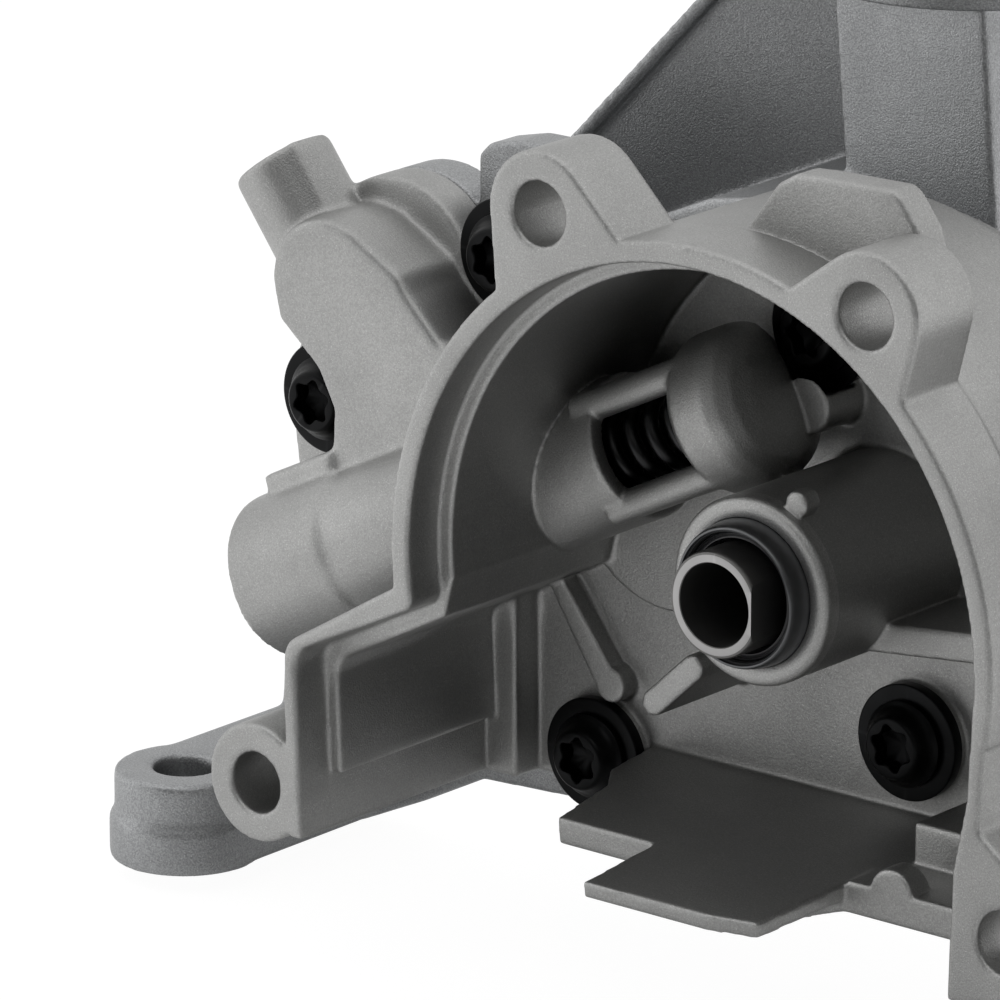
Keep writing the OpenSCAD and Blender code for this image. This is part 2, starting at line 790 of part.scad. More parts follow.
module rear_housing() {
    color(cast_grey)
        difference() {
            union() {
                // Joint flange
                prism(part_y, part_y + flange_t) {
                    left_joint();
                    right_joint();
                    polygon([
                        [-109, -16], [-118.6, -48], [-118.6, -61], [-104, -66],
                        [-91, -60], [-79, -53.8], [-46, -52], [-46, -30],
                    ]);
                }
                // Gear case
                rod([0, 0], cavity_r + case_wall, part_y, back_y);
                rod([idler_x, 0], cavity_r + case_wall, part_y, back_y);
                prism(part_y, back_y)
                    polygon([
                        [0, cavity_r + case_wall],
                        [idler_x, cavity_r + case_wall],
                        [idler_x, -cavity_r - case_wall],
                        [0, -cavity_r - case_wall],
                    ]);
                // Screw bosses
                for (screw = screws)
                    rod(screw, screw_boss_r - 0.9, part_y, part_y + screw_grip + 3);
                // Block behind the first ear
                prism(part_y, part_y + 7)
                    polygon([[-79.6, 20], [-79.6, 41.6], [-77.6, 43.6], [-71.4, 45], [-64, 45], [-58, 36], [-60, 10]]);
                neck_plate();
                neck_solid();
                end_cover();
                // Ribs from the gear case to the screw bosses and the lug
                rib([0, 0], screws[5], 34, 7);
                rib([0, 0], screws[6], 34, 7);
                rib([0, 0], [right_foot_x - 2, right_foot_z + 5], 34, 4);
                rib([idler_x, 0], screws[0], 34, 10);
                rib([idler_x, 0], screws[3], 34, 10);
                rib([idler_x, 0], [-104, -54], 34, 4);
                // Spine down the neck's back and over the end wall
                prism(back_y - 1, back_y + 5)
                    polygon([[-17, -20], [-12, -20], [-17, 40], [-22, 40]]);
                // Arm and lug
                translate([lug_at[0] - lug_r + 2, lug_at[1], lug_top_z - lug_h])
                    cube([2 * lug_r - 2, part_y - lug_at[1] + 1, lug_h]);
                translate([lug_at[0], lug_at[1], lug_top_z - lug_h])
                    cylinder(r = lug_r, h = lug_h);
                translate([lug_at[0], lug_at[1], lug_top_z - lug_h])
                    cylinder(r = lug_r + 0.8, h = lug_h / 2);
            }
            // Bolt holes of the neck's flange
            for (side = [-1, 1])
                translate([neck_mid[0] + side * neck_bolt, neck_mid[1], neck_top - neck_flange_t - 1])
                    cylinder(r = neck_bolt_r, h = neck_flange_t + 2);
            // Gear cavities
            rod([0, 0], cavity_r, part_y - 1, case_y);
            rod([idler_x, 0], cavity_r, part_y - 1, case_y);
            // Suction from the neck to the upper side of the mesh
            translate([neck_bore_at[0], neck_bore_at[1], neck_foot_z])
                cylinder(r = neck_bore_d / 2, h = neck_top);
            translate([neck_bore_at[0], suction_y, 10])
                cylinder(r = suction_r, h = neck_foot_z);
            translate([-pitch_r - 7, part_y + 6, 10])
                cube([14, suction_y - part_y - 6, 10]);
            // Pressure from the lower side of the mesh, round the idler to the valve
            translate([-pitch_r - 8, part_y + 4, -25])
                cube([16, gear_w - 8, 14]);
            prism(part_y - 1, part_y + gallery_depth) {
                difference() {
                    translate([idler_x, 0])
                        circle(r = gallery_mid_r + gallery_r);
                    translate([idler_x, 0])
                        circle(r = gallery_mid_r - gallery_r);
                    translate([idler_x - 2 * gallery_mid_r, -8])
                        square([4 * gallery_mid_r, 3 * gallery_mid_r]);
                    translate([-pitch_r + 4, -3 * gallery_mid_r])
                        square([2 * gallery_mid_r, 4 * gallery_mid_r]);
                }
                translate(gallery_at)
                    circle(r = gallery_r);
                polygon([
                    [gallery_at[0], gallery_at[1] - gallery_r + 0.2],
                    [idler_x - gallery_mid_r + 3, -12],
                    [idler_x - gallery_mid_r + 1, -7.4],
                    [gallery_at[0], gallery_at[1] + gallery_r - 0.2],
                ]);
            }
            // Bores on the shaft's axis
            rod([0, 0], bush_r, case_y - 1, back_y - 4);
            rod([idler_x, 0], pin_d / 2, case_y - 1, pin_end_y);
            for (screw = screws)
                rod(screw, screw_d / 2, part_y - 1, part_y + screw_grip + 1);
            for (at = sleeve_at)
                rod(at, sleeve_d / 2, part_y - 1, part_y + sleeve_depth);
            translate([lug_at[0], lug_at[1], lug_top_z - lug_h - 1])
                cylinder(r = lug_hole_d / 2, h = lug_h + 2);
        }
}

// Gears and shafts

// Angle between the radius and the tangent of the involute, as an arc
function involute(r) = let (a = acos(min(1, base_r / r))) tan(a) - a * PI / 180;

// Half the angle of a tooth at a radius
function tooth_half(r) =
    90 / teeth - backlash / (4 * pitch_r) * 180 / PI
    + (involute(pitch_r) - involute(max(r, base_r))) * 180 / PI;

flank_steps = 7;

module gear_outline() {
    radii = [for (i = [0:flank_steps]) base_r + (tip_r - base_r) * i / flank_steps];
    polygon([
        for (k = [0:teeth - 1])
            let (mid = 360 * k / teeth)
            each concat(
                [root_r * [cos(mid - tooth_half(base_r) - 3), sin(mid - tooth_half(base_r) - 3)]],
                [for (r = radii) r * [cos(mid - tooth_half(r)), sin(mid - tooth_half(r))]],
                [for (i = [0:flank_steps])
                    let (r = radii[flank_steps - i])
                    r * [cos(mid + tooth_half(r)), sin(mid + tooth_half(r))]],
                [root_r * [cos(mid + tooth_half(base_r) + 3), sin(mid + tooth_half(base_r) + 3)]]
            )
    ]);
}

module drive_gear() {
    color(steel_dark)
        difference() {
            prism(gear_y, gear_y + gear_w)
                rotate(180)
                    gear_outline();
            rod([0, 0], journal_r, gear_y - 1, gear_y + gear_w + 1);
        }
}

module idler_gear() {
    color(steel_dark)
        difference() {
            translate([idler_x, 0, 0])
                prism(gear_y, gear_y + gear_w)
                    rotate(180 / teeth)
                        gear_outline();
            rod([idler_x, 0], idler_bush_r, gear_y - 1, gear_y + gear_w + 1);
        }
}

module idler_bush() {
    color(bronze)
        difference() {
            rod([idler_x, 0], idler_bush_r, gear_y, gear_y + gear_w);
            rod([idler_x, 0], pin_d / 2 + run_gap, gear_y - 1, gear_y + gear_w + 1);
        }
}

module idler_pin() {
    color(steel_dark)
        turned([idler_x, 0])
            polygon([
                [0, part_y - idler_pocket],
                [pin_d / 2 - 0.6, part_y - idler_pocket],
                [pin_d / 2, part_y - idler_pocket + 0.6],
                [pin_d / 2, pin_end_y - 0.6],
                [pin_d / 2 - 0.6, pin_end_y],
                [0, pin_end_y],
            ]);
}

module drive_shaft() {
    color(steel_dark)
        difference() {
            turned()
                polygon([
                    [shaft_bore_d / 2, shaft_y],
                    [stub_d / 2 - 0.6, shaft_y],
                    [stub_d / 2, shaft_y + 0.6],
                    [stub_d / 2, shaft_y + stub_l],
                    [journal_r, shaft_y + stub_l + 0.7],
                    [journal_r, shaft_end_y - 0.6],
                    [journal_r - 0.6, shaft_end_y],
                    [shaft_bore_d / 2, shaft_end_y],
                ]);
            // Driving flat
            translate([stub_d / 2 - flat_depth, shaft_y - 1, -stub_d])
                cube([stub_d, stub_l - 1.5, 2 * stub_d]);
        }
}

// A plain bush on the shaft's axis
module shaft_bush(y0, y1) {
    color(bronze)
        difference() {
            rod([0, 0], bush_r, y0, y1);
            rod([0, 0], journal_r + run_gap, y0 - 1, y1 + 1);
        }
}

module front_shaft_bush() {
    shaft_bush(boss_y + 3 + seal_w, part_y);
}

module rear_shaft_bush() {
    shaft_bush(case_y, back_y - 4);
}

module shaft_seal() {
    color(rubber)
        turned()
            polygon([
                [bush_r, boss_y + 2],
                [journal_r + 1.3, boss_y + 2],
                [journal_r + 0.9, boss_y + 2.6],
                [journal_r + 1.2, boss_y + 3.3],
                [journal_r + run_gap + 0.02, boss_y + 4.4],
                [journal_r + run_gap + 0.02, boss_y + 5],
                [journal_r + 1.4, boss_y + 2 + seal_w],
                [bush_r, boss_y + 2 + seal_w],
            ]);
}

module shaft_circlip() {
    color(black_steel)
        difference() {
            rod([0, 0], stub_d / 2 + 1.1, shaft_y + stub_l - 1.4, shaft_y + stub_l - 0.3);
            rod([0, 0], stub_d / 2, shaft_y, shaft_y + stub_l + 1);
        }
}

// Relief valve

module relief_piston() {
    color(steel_dark)
        on_valve(piston_start)
            rotate_extrude()
                polygon([
                    [0, 0],
                    [piston_r - 1, 0],
                    [piston_r, 1],
                    [piston_r, piston_l - 0.4],
                    [piston_r - 0.4, piston_l],
                    [piston_r - piston_wall, piston_l],
                    [piston_r - piston_wall, piston_floor],
                    [0, piston_floor],
                ]);
}

spring_sides = 6;
spring_steps = 12;

// Middle of the spring's wire at a share of its length
function coil_at(t) =
    let (a = 360 * spring_turns * t)
    [
        (spring_r - wire_d / 2) * cos(a),
        (spring_r - wire_d / 2) * sin(a),
        wire_d / 2 + (spring_l - wire_d) * t
    ];

// Ring of points round the wire at a share of the spring's length
function coil_ring(t) =
    let (
        a = 360 * spring_turns * t,
        out = [cos(a), sin(a), 0],
        along = [0, 0, 1]
    )
    [for (k = [0:spring_sides - 1])
        let (b = 360 * k / spring_sides)
        coil_at(t) + wire_d / 2 * (cos(b) * out + sin(b) * along)];

module relief_spring() {
    rings = spring_turns * spring_steps;
    points = [for (i = [0:rings]) each coil_ring(i / rings)];
    sides = [
        for (i = [0:rings - 1])
            for (k = [0:spring_sides - 1])
                let (
                    a = i * spring_sides + k,
                    b = i * spring_sides + (k + 1) % spring_sides
                )
                [a, a + spring_sides, b + spring_sides, b]
    ];
    ends = [
        [for (k = [0:spring_sides - 1]) k],
        [for (k = [0:spring_sides - 1]) (rings + 1) * spring_sides - 1 - k],
    ];
    color(spring_black)
        on_valve(spring_foot)
            polyhedron(points = points, faces = concat(sides, ends), convexity = 12);
}

module relief_plug() {
    color(steel_dark)
        on_valve(plug_start)
            difference() {
                rotate_extrude()
                    polygon([
                        [0, 0],
                        [valve_bore_r - 0.6, 0],
                        [valve_bore_r, 0.6],
                        [valve_bore_r, 3],
                        [valve_bore_r - 1.6, 3],
                        [valve_bore_r - 1.6, 5.4],
                        [valve_bore_r, 5.4],
                        [valve_bore_r, plug_l - 0.6],
                        [valve_bore_r - 0.6, plug_l],
                        [0, plug_l],
                    ]);
                translate([0, 0, -1])
                    cylinder(r = 3, h = 6, $fn = 6);
            }
}

module plug_o_ring() {
    color(rubber)
        on_valve(plug_start + 4.2)
            rotate_extrude()
                translate([valve_bore_r - 0.8, 0])
                    circle(r = 0.8, $fn = 24);
}

module plug_snap_ring() {
    color(black_steel)
        on_valve(ring_at)
            difference() {
                cylinder(r = valve_bore_r + 0.9, h = ring_w);
                translate([0, 0, -1])
                    cylinder(r = valve_bore_r - 1.5, h = ring_w + 2);
                translate([0, -2, -1])
                    cube([20, 4, ring_w + 2]);
            }
}

// Fasteners

module sleeve(at) {
    color(steel_dark)
        difference() {
            rod(at, sleeve_d / 2, part_y - sleeve_depth, part_y + sleeve_depth);
            rod(at, screw_hole_r, part_y - sleeve_depth - 1, part_y + sleeve_depth + 1);
        }
}

module housing_screw(at) {
    head_y = wall_y - washer_t;
    color(black_steel)
        difference() {
            turned(at)
                polygon([
                    [0, head_y - screw_head_h],
                    [screw_head_r - 2.4, head_y - screw_head_h],
                    [screw_head_r - 2, head_y - screw_head_h + 0.4],
                    [screw_head_r - 0.1, head_y - 0.9],
                    [screw_head_r, head_y],
                    [screw_d / 2, head_y],
                    [screw_d / 2, part_y + screw_grip - 1],
                    [screw_d / 2 - 1, part_y + screw_grip],
                    [0, part_y + screw_grip],
                ]);
            translate([at[0], head_y - 0.4, at[1]])
                rotate([90, 0, 0])
                    six_lobe(screw_head_h + 1);
        }
}

// Six-lobed drive recess
module six_lobe(h) {
    cylinder(r = 2.75, h = h);
    for (k = [0:5])
        rotate(60 * k)
            translate([2.55, 0, 0])
                cylinder(r = 0.82, h = h, $fn = 24);
}

module screw_washer(at) {
    color(black_steel)
        difference() {
            rod(at, washer_d / 2, wall_y - washer_t, wall_y);
            rod(at, screw_d / 2 + 0.1, wall_y - washer_t - 1, wall_y + 1);
        }
}

front_housing();
rear_housing();
drive_shaft();
drive_gear();
idler_gear();
idler_pin();
idler_bush();
front_shaft_bush();
rear_shaft_bush();
shaft_seal();
shaft_circlip();
relief_piston();
relief_spring();
relief_plug();
plug_o_ring();
plug_snap_ring();
sleeve(sleeve_at[1]);  // sleeve_upper
sleeve(sleeve_at[0]);  // sleeve_lower
for (i = [1:7]) {
    housing_screw(screws[i - 1]);
    screw_washer(screws[i - 1]);
}
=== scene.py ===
"""Looks of the engine oil pump: cast skins, black screws, a dark shaft, and a plain white studio."""

from math import cos, pi, radians, sin

import bmesh
import bpy
import numpy as np
from mathutils import Matrix, Vector


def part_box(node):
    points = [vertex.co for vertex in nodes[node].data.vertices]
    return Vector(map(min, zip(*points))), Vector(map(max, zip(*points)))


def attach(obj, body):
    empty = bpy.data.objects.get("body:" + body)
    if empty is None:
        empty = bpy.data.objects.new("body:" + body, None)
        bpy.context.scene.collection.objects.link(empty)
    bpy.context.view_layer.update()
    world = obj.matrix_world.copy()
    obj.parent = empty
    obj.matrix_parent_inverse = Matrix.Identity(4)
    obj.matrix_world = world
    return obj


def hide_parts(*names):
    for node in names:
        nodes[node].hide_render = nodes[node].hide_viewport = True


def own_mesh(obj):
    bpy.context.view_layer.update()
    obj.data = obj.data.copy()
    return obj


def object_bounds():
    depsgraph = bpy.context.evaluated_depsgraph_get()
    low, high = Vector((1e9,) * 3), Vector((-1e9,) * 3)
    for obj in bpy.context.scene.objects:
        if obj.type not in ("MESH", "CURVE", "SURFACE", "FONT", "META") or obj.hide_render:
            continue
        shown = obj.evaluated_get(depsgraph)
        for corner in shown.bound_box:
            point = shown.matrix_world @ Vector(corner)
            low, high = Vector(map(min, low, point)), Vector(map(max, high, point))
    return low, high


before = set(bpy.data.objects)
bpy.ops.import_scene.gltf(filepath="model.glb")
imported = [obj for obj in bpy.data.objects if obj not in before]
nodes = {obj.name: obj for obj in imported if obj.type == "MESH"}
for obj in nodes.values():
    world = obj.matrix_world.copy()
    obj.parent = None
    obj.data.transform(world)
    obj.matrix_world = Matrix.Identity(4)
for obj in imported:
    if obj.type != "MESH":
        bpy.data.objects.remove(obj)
cad_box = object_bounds()
MM = 0.001
MERGE_DISTANCE = 1e-7

# Places of the pump, in millimetres: X right, Y back along the shaft, Z up
FACE_BOLTS = [(-50.6, -41.5), (6, -27.6), (-10, 29.5), (-101.2, 3), (-67, 30.4), (62, 17), (62, -17)]
SEAT_Y = 45.0
VALVE_AT = Vector((-28.9, 35.0, 13.0))
VALVE_SLOPE = radians(26)
VALVE_AXIS = Vector((cos(VALVE_SLOPE), 0.0, sin(VALVE_SLOPE)))


# Mesh building

def weld(mesh, turn_outwards):
    """Joins the points of a mesh that lie on one place, and turns its faces outwards if asked."""
    bm = bmesh.new()
    bm.from_mesh(mesh)
    bmesh.ops.remove_doubles(bm, verts=bm.verts, dist=MERGE_DISTANCE)
    if turn_outwards:
        bmesh.ops.recalc_face_normals(bm, faces=bm.faces)
    bm.to_mesh(mesh)
    bm.free()


def new_object(name, mesh):
    obj = bpy.data.objects.new(name, mesh)
    bpy.context.collection.objects.link(obj)
    return obj


def dress(obj, material, body, replaced=None):
    """Gives a piece its material and the body it rides on, and hides the node that it stands for."""
    obj.data.materials.clear()
    obj.data.materials.append(material)
    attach(obj, body)
    if replaced:
        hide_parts(replaced)


def add_piece(name, verts, faces, material, body, replaced=None, sharp=35):
    """Makes a mesh piece from points in millimetres, smooth but for creases over the sharp angle in degrees."""
    mesh = bpy.data.meshes.new(name)
    mesh.from_pydata([Vector(v) * MM for v in verts], [], faces)
    mesh.validate()
    mesh.update()
    obj = new_object(name, mesh)
    weld(mesh, turn_outwards=True)
    mesh.shade_smooth()
    mesh.set_sharp_from_angle(angle=radians(sharp))
    dress(obj, material, body, replaced)
    return obj


def axis_frame(origin, axis):
    """Matrix that puts local Z on an axis, in millimetres."""
    turn = Vector((0, 0, 1)).rotation_difference(Vector(axis)).to_matrix().to_4x4()
    return Matrix.Translation(Vector(origin)) @ turn


def placed(matrix, verts):
    return [tuple(matrix @ Vector(v)) for v in verts]


def turns_of(count):
    """Evenly spaced angles of one turn."""
    return [2 * pi * k / count for k in range(count)]


def band(first, second, count):
    """Faces between two rings of points that start at the given numbers."""
    return [(first + k, first + (k + 1) % count, second + (k + 1) % count, second + k) for k in range(count)]


def lathe(profile, angles):
    """Turned shape: a closed profile of (radius, height) taken round local Z."""
    count, rows = len(angles), len(profile)
    verts = [(r * cos(a), r * sin(a), z) for r, z in profile for a in angles]
    faces = [face for i in range(rows) for face in band(i * count, (i + 1) % rows * count, count)]
    return verts, faces


def rounded(points, radius):
    """Replaces the corners of a closed profile by short arcs."""
    out, steps = [], 3
    for i, p in enumerate(points):
        a, b, c = Vector(points[i - 1]), Vector(p), Vector(points[(i + 1) % len(points)])
        u, v = a - b, c - b
        cut = min(radius, u.length * 0.45, v.length * 0.45)
        start, end = b + u.normalized() * cut, b + v.normalized() * cut
        for s in range(steps + 1):
            t = s / steps
            q = (1 - t) ** 2 * start + 2 * t * (1 - t) * b + t ** 2 * end
            out.append((q.x, q.y))
    return out


# Shader nodes

def feed(tree, value, socket):
    """Links another node's output to a socket, or sets a constant on it."""
    if isinstance(value, (int, float, tuple)):
        socket.default_value = value
    else:
        tree.links.new(value, socket)


def maths(tree, operation, a, b):
    node = tree.nodes.new("ShaderNodeMath")
    node.operation = operation
    feed(tree, a, node.inputs[0])
    feed(tree, b, node.inputs[1])
    return node.outputs[0]


def vector_maths(tree, operation, a, b=None):
    """A Vector Math node: gives its number for a length or a dot product, and else its vector."""
    node = tree.nodes.new("ShaderNodeVectorMath")
    node.operation = operation
    feed(tree, a, node.inputs[0])
    if b is not None:
        feed(tree, b, node.inputs[1])
    return node.outputs["Value" if operation in ("LENGTH", "DOT_PRODUCT") else "Vector"]


def noise(tree, where, scale, detail, rough):
    node = tree.nodes.new("ShaderNodeTexNoise")
    feed(tree, where, node.inputs["Vector"])
    feed(tree, scale, node.inputs["Scale"])
    feed(tree, detail, node.inputs["Detail"])
    feed(tree, rough, node.inputs["Roughness"])
    return node.outputs["Fac"]


def ramp(tree, value, low, high, out_low=0.0, out_high=1.0):
    """Map Range with limits."""
    node = tree.nodes.new("ShaderNodeMapRange")
    sockets = ("Value", "From Min", "From Max", "To Min", "To Max")
    for label, given in zip(sockets, (value, low, high, out_low, out_high)):
        feed(tree, given, node.inputs[label])
    return node.outputs["Result"]


def mix_colours(tree, mask, a, b):
    node = tree.nodes.new("ShaderNodeMix")
    node.data_type = "RGBA"
    mask_at, a_at, b_at, result_at = 0, 6, 7, 2
    feed(tree, mask, node.inputs[mask_at])
    feed(tree, a, node.inputs[a_at])
    feed(tree, b, node.inputs[b_at])
    return node.outputs[result_at]


def mix_shaders(tree, mask, a, b, target):
    node = tree.nodes.new("ShaderNodeMixShader")
    feed(tree, mask, node.inputs[0])
    feed(tree, a, node.inputs[1])
    feed(tree, b, node.inputs[2])
    feed(tree, node.outputs[0], target)


def object_place(tree):
    return tree.nodes.new("ShaderNodeTexCoord").outputs["Object"]


# Shader groups that the materials share

def new_group(name, inputs, outputs):
    """An empty shader node group with number sockets: inputs are named with their defaults."""
    tree = bpy.data.node_groups.new(name, "ShaderNodeTree")
    for label, value in inputs.items():
        item = tree.interface.new_socket(name=label, in_out="INPUT", socket_type="NodeSocketFloat")
        item.default_value = value
    for label in outputs:
        tree.interface.new_socket(name=label, in_out="OUTPUT", socket_type="NodeSocketFloat")
    return tree, tree.nodes.new("NodeGroupInput").outputs, tree.nodes.new("NodeGroupOutput").inputs


CLOUDS_PER_M = 55.0
EDGE_BREAKS_PER_M = 700.0


def make_blast_grain():
    """Grain of a shot-blasted casting: its height, its bright specks, its slow clouds and its dull dust."""
    tree, given, out = new_group(
        "Blast grain",
        {"Grain per m": 2600.0, "Peel per m": 900.0, "Peel share": 0.4},
        ("Height", "Specks", "Clouds", "Glitter"),
    )
    where = object_place(tree)
    grain = noise(tree, where, given["Grain per m"], 2.0, 0.6)
    peel = noise(tree, where, given["Peel per m"], 2.0, 0.45)
    fine = maths(tree, "MULTIPLY", grain, maths(tree, "SUBTRACT", 1.0, given["Peel share"]))
    coarse = maths(tree, "MULTIPLY", peel, given["Peel share"])
    feed(tree, maths(tree, "ADD", fine, coarse), out["Height"])
    dust = noise(tree, where, given["Grain per m"], 1.0, 0.5)
    feed(tree, ramp(tree, dust, 0.36, 0.64), out["Glitter"])
    cells = tree.nodes.new("ShaderNodeTexVoronoi")
    feed(tree, where, cells.inputs["Vector"])
    feed(tree, maths(tree, "MULTIPLY", given["Grain per m"], 1.5), cells.inputs["Scale"])
    chosen = tree.nodes.new("ShaderNodeSeparateColor")
    feed(tree, cells.outputs["Color"], chosen.inputs[0])
    rare = ramp(tree, chosen.outputs[0], 0.72, 0.98)
    spot = ramp(tree, cells.outputs["Distance"], 0.5, 0.1)
    feed(tree, maths(tree, "MULTIPLY", rare, spot), out["Specks"])
    slow = noise(tree, where, CLOUDS_PER_M, 4.0, 0.6)
    feed(tree, ramp(tree, slow, 0.35, 0.68), out["Clouds"])
    return tree


def make_edge_wear_and_shade():
    """Masks from the curve of the surface: of the convex edges, broken up by grain, for wear and a painted highlight,
    and of the hollows, for painted shade.
    """
    tree, given, out = new_group("Edge wear, highlight and shade", {"From": 0.52, "To": 0.6}, ("Edges", "Painted shade in hollows"))
    curve = tree.nodes.new("ShaderNodeNewGeometry").outputs["Pointiness"]
    broken = ramp(tree, noise(tree, object_place(tree), EDGE_BREAKS_PER_M, 3.0, 0.6), 0.3, 0.6, 0.6, 1.0)
    # Convex edges: wear and a painted highlight
    edges = ramp(tree, curve, given["From"], given["To"])
    feed(tree, maths(tree, "MULTIPLY", edges, broken), out["Edges"])
    # Hollows: painted shade, darker where the surface curves inwards
    feed(tree, ramp(tree, curve, 0.49, 0.42), out["Painted shade in hollows"])
    return tree


BLAST_GRAIN = make_blast_grain()
EDGE_WEAR_AND_SHADE = make_edge_wear_and_shade()


def place_group(tree, group, **values):
    """Puts a group in a material, with its input sockets set by name, and gives its outputs."""
    node = tree.nodes.new("ShaderNodeGroup")
    node.node_tree = group
    for name, value in values.items():
        node.inputs[name.replace("_", " ")].default_value = value
    return node.outputs


# Materials

def bare_material(name, colour, metallic, roughness):
    """A Principled material; gives the material, its tree and its shader."""
    mat = bpy.data.materials.new(name)
    mat.use_nodes = True
    shader = mat.node_tree.nodes["Principled BSDF"]
    shader.inputs["Base Color"].default_value = colour
    shader.inputs["Metallic"].default_value = metallic
    shader.inputs["Roughness"].default_value = roughness
    mat.diffuse_color = colour
    return mat, mat.node_tree, shader


def tinted(tone, tint):
    return (tone * tint[0], tone * tint[1], tone * tint[2], 1.0)


def add_bump(tree, shader, height, strength, depth_mm):
    node = tree.nodes.new("ShaderNodeBump")
    node.inputs["Strength"].default_value = strength
    node.inputs["Distance"].default_value = depth_mm * MM
    feed(tree, height, node.inputs["Height"])
    feed(tree, node.outputs["Normal"], shader.inputs["Normal"])


# Shares of a casting's tone in its clouds, its hollows (painted shade), its dull dust, its edges (wear and painted
# highlight) and its specks
CAST_DARK_CLOUD, CAST_PALE_CLOUD = 0.94, 1.04
CAST_PAINTED_SHADE, CAST_DULL, CAST_WEAR_AND_HIGHLIGHT_EDGE, CAST_SPECK = 0.76, 0.45, 1.5, 1.9
CAST_WEAR_AND_HIGHLIGHT_EDGE_MIX, CAST_SPECK_MIX, CAST_SPARK = 0.8, 0.6, 0.16
CAST_ROUGH_RANGE = 0.03


def cast_material(name, tone, tint, grain, depth, rough, glitter):
    """Blasted die-cast aluminium: matte, finely speckled, painted paler on its edges as wear and painted highlight, and
    painted darker in its hollows as painted shade.
    """
    mat, tree, shader = bare_material(name, tinted(tone, tint), 1.0, rough)
    skin = place_group(tree, BLAST_GRAIN, Grain_per_m=grain, Peel_per_m=1500.0, Peel_share=0.2)
    wear_and_shade = place_group(tree, EDGE_WEAR_AND_SHADE, From=0.515, To=0.60)
    base = mix_colours(tree, skin["Clouds"], tinted(tone * CAST_DARK_CLOUD, tint), tinted(tone * CAST_PALE_CLOUD, tint))
    # Painted shade: the hollows are painted darker
    base = mix_colours(tree, wear_and_shade["Painted shade in hollows"], base, tinted(tone * CAST_PAINTED_SHADE, tint))
    # Wear and painted highlight: the convex edges are painted paler
    edges = maths(tree, "MULTIPLY", wear_and_shade["Edges"], CAST_WEAR_AND_HIGHLIGHT_EDGE_MIX)
    base = mix_colours(tree, edges, base, tinted(tone * CAST_WEAR_AND_HIGHLIGHT_EDGE, tint))
    dull = maths(tree, "MULTIPLY", maths(tree, "SUBTRACT", 1.0, skin["Glitter"]), glitter)
    base = mix_colours(tree, dull, base, tinted(tone * CAST_DULL, tint))
    specks = maths(tree, "MULTIPLY", skin["Specks"], CAST_SPECK_MIX)
    base = mix_colours(tree, specks, base, tinted(tone * CAST_SPECK, tint))
    feed(tree, base, shader.inputs["Base Color"])
    uneven = ramp(tree, skin["Clouds"], 0.0, 1.0, rough + CAST_ROUGH_RANGE, rough - CAST_ROUGH_RANGE)
    spark = maths(tree, "MULTIPLY", skin["Specks"], CAST_SPARK)
    feed(tree, maths(tree, "SUBTRACT", uneven, spark), shader.inputs["Roughness"])
    add_bump(tree, shader, skin["Height"], 1.0, depth)
    return mat


STEEL_DARK_CLOUD, STEEL_PALE_CLOUD, STEEL_WEAR_AND_HIGHLIGHT_EDGE_MIX = 0.85, 1.12, 0.7


def steel_material(name, tone, rough, wear_and_highlight_edge_tone, tint, depth):
    """Turned or phosphated steel, or bronze, with edges painted paler as wear and painted highlight, and fine
    unevenness.
    """
    mat, tree, shader = bare_material(name, tinted(tone, tint), 1.0, rough)
    skin = place_group(tree, BLAST_GRAIN, Grain_per_m=4200.0, Peel_per_m=1500.0, Peel_share=0.3)
    wear_and_shade = place_group(tree, EDGE_WEAR_AND_SHADE, From=0.53, To=0.64)
    dark, pale = tinted(tone * STEEL_DARK_CLOUD, tint), tinted(tone * STEEL_PALE_CLOUD, tint)
    base = mix_colours(tree, skin["Clouds"], dark, pale)
    # Wear and painted highlight: the edges are painted towards the edge tone
    edges = maths(tree, "MULTIPLY", wear_and_shade["Edges"], STEEL_WEAR_AND_HIGHLIGHT_EDGE_MIX)
    feed(tree, mix_colours(tree, edges, base, tinted(wear_and_highlight_edge_tone, tint)), shader.inputs["Base Color"])
    feed(tree, ramp(tree, skin["Clouds"], 0.0, 1.0, rough + 0.06, rough - 0.05), shader.inputs["Roughness"])
    add_bump(tree, shader, skin["Height"], 0.35, depth)
    return mat


RUBBER_TINT = (1.0, 1.0, 1.1)
RUBBER_DARK_CLOUD, RUBBER_PALE_CLOUD = 0.8, 1.4


def rubber_material(name, tone, rough):
    """Moulded rubber with a faint bloom."""
    mat, tree, shader = bare_material(name, tinted(tone, RUBBER_TINT), 0.0, rough)
    skin = place_group(tree, BLAST_GRAIN, Grain_per_m=3000.0, Peel_per_m=700.0, Peel_share=0.5)
    dark, pale = tinted(tone * RUBBER_DARK_CLOUD, RUBBER_TINT), tinted(tone * RUBBER_PALE_CLOUD, RUBBER_TINT)
    feed(tree, mix_colours(tree, skin["Clouds"], dark, pale), shader.inputs["Base Color"])
    feed(tree, ramp(tree, skin["Clouds"], 0.0, 1.0, rough + 0.07, rough - 0.07), shader.inputs["Roughness"])
    add_bump(tree, shader, skin["Height"], 0.3, 0.02)
    return mat


